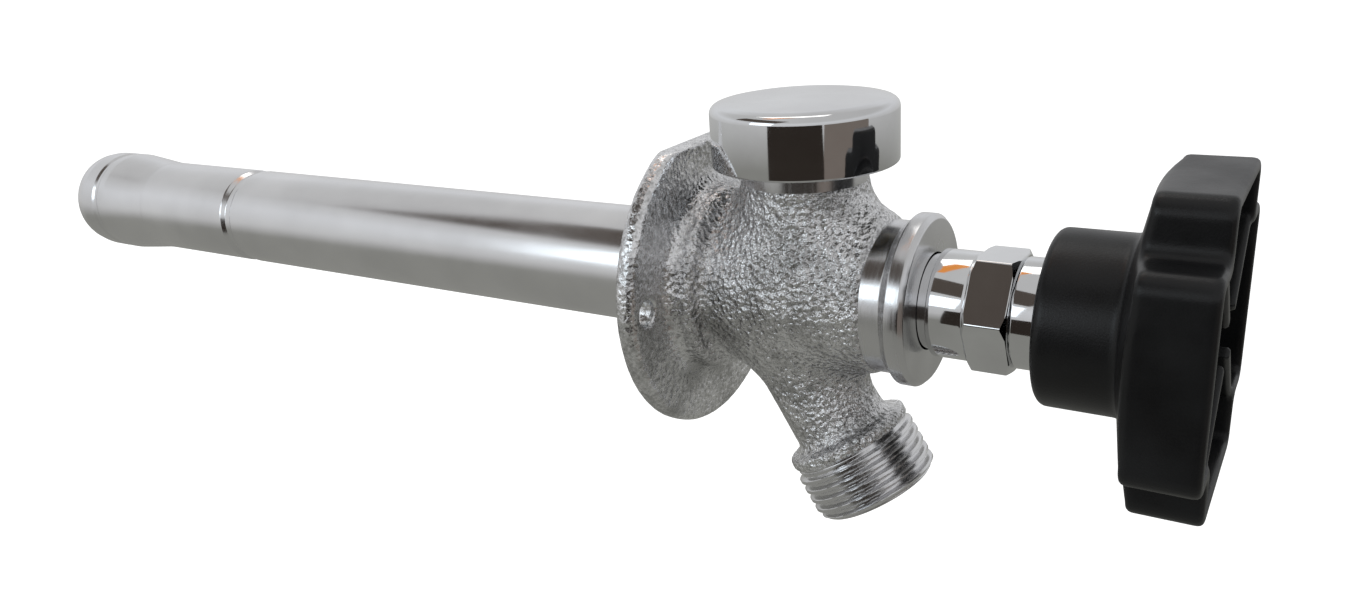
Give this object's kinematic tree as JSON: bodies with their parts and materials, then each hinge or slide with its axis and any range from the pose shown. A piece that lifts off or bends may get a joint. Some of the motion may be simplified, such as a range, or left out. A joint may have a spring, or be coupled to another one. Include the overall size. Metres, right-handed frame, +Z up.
{
  "type": "hose bib",
  "caption": "Frost-free hose bib: wall flange on a long supply tube, tilted hose spout, capped vacuum breaker, hexagon packing nut and a lobed black handwheel.",
  "frame": {"origin": "where the supply tube's axis meets the wall flange's back face", "axes": "+Y along the tube into the wall towards the supply pipe, -Y towards the handwheel, +Z up, spout pointing down and forward"},
  "size_m": [0.0642, 0.3202, 0.0882],
  "materials": {
    "satin_casting": "satin-plated sand casting",
    "plated_tube": "satin plated tube",
    "polished_chrome": "polished chrome",
    "brass": "machined brass",
    "steel": "machined stainless steel",
    "packing": "graphite packing",
    "rubber": "moulded rubber",
    "nylon": "moulded nylon",
    "black_plastic": "satin moulded plastic"
  },
  "bodies": {
    "hydrant": {"head_casting": "satin_casting", "barrel_tube": "plated_tube", "inlet_fitting": "plated_tube", "packing_nut": "polished_chrome", "packing_washer": "brass", "packing_ring": "packing", "vb_cap": "polished_chrome", "vb_insert": "brass", "vb_oring": "rubber"},
    "float": {"vb_float": "nylon", "vb_float_seal": "rubber"},
    "valve": {"washer_holder": "brass", "seat_washer": "rubber", "washer_retainer": "brass", "seat_screw": "brass"},
    "stem": {"operating_stem": "brass", "stem_oring": "rubber", "stem_rod": "steel", "rod_pin": "steel", "retaining_ring": "steel", "handle": "black_plastic", "handle_washer": "steel", "handle_screw": "steel"}
  },
  "joints": [
    {"name": "stem_travel", "type": "slide", "parent": "hydrant", "child": "valve", "axis": [0, -1, 0], "range_m": [0, 0.0063]},
    {"name": "handle_turn", "type": "hinge", "parent": "valve", "child": "stem", "pos_m": [0, -0.09, 0], "axis": [0, -1, 0], "range_deg": [0, 540]},
    {"name": "float_rise", "type": "slide", "parent": "hydrant", "child": "float", "axis": [0, 0, 1], "range_m": [0, 0.0026]}
  ],
  "couplings": [
    {"joint": "stem_travel", "follows": "handle_turn", "m_per_rad": 0.000668}
  ]
}
